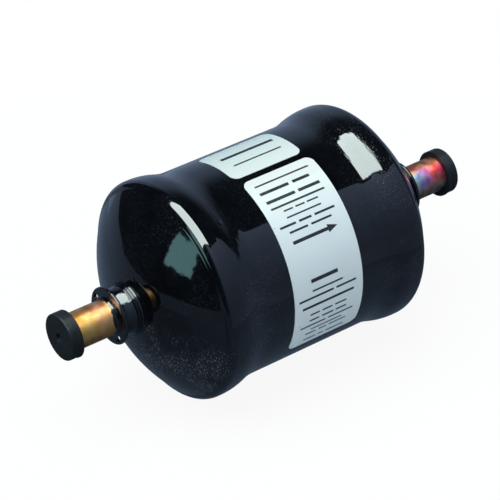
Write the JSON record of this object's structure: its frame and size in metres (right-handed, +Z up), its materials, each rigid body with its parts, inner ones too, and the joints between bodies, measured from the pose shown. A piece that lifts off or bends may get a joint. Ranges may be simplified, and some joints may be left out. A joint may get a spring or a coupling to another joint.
{
  "type": "refrigerant filter drier",
  "caption": "Liquid-line filter drier: waisted steel shell with domed ends, copper-plated solder sockets, perforated flange rings and rubber seal caps.",
  "frame": {"origin": "middle of the flow axis, halfway between the two mouths", "axes": "+X along the flow axis from inlet to outlet, +Z up as the drier lies on its side, -Y towards the front where the label runs down"},
  "size_m": [0.1414, 0.067, 0.067],
  "materials": {
    "black_paint": "gloss",
    "copper_plate": "satin, heat tinted",
    "rubber": "matt",
    "label_foil": "satin foil",
    "spring_steel": "drawn wire",
    "plated_steel": "zinc plated",
    "wire_screen": "woven wire",
    "felt": "needled felt",
    "desiccant": "moulded granules"
  },
  "bodies": {
    "root": {"shell": "black_paint", "inlet_tube": "copper_plate", "inlet_collar": "black_paint", "inlet_weld_flash": "black_paint", "inlet_flange_ring": "black_paint", "inlet_braze_fillet": "black_paint", "outlet_tube": "copper_plate", "outlet_collar": "black_paint", "outlet_weld_flash": "black_paint", "outlet_flange_ring": "black_paint", "outlet_braze_fillet": "black_paint", "main_label": "label_foil", "small_label": "label_foil", "pressure_spring": "spring_steel", "pressure_plate": "plated_steel", "inlet_pad": "felt", "desiccant_core": "desiccant", "outlet_pad": "felt", "outlet_screen": "wire_screen", "support_cup": "plated_steel"},
    "inlet_cap": {"inlet_cap": "rubber"},
    "outlet_cap": {"outlet_cap": "rubber"}
  },
  "joints": [
    {"name": "inlet_cap_pull", "type": "slide", "parent": "root", "child": "inlet_cap", "axis": [-1, 0, 0], "range_m": [0, 0.06]},
    {"name": "outlet_cap_pull", "type": "slide", "parent": "root", "child": "outlet_cap", "axis": [1, 0, 0], "range_m": [0, 0.06]}
  ]
}
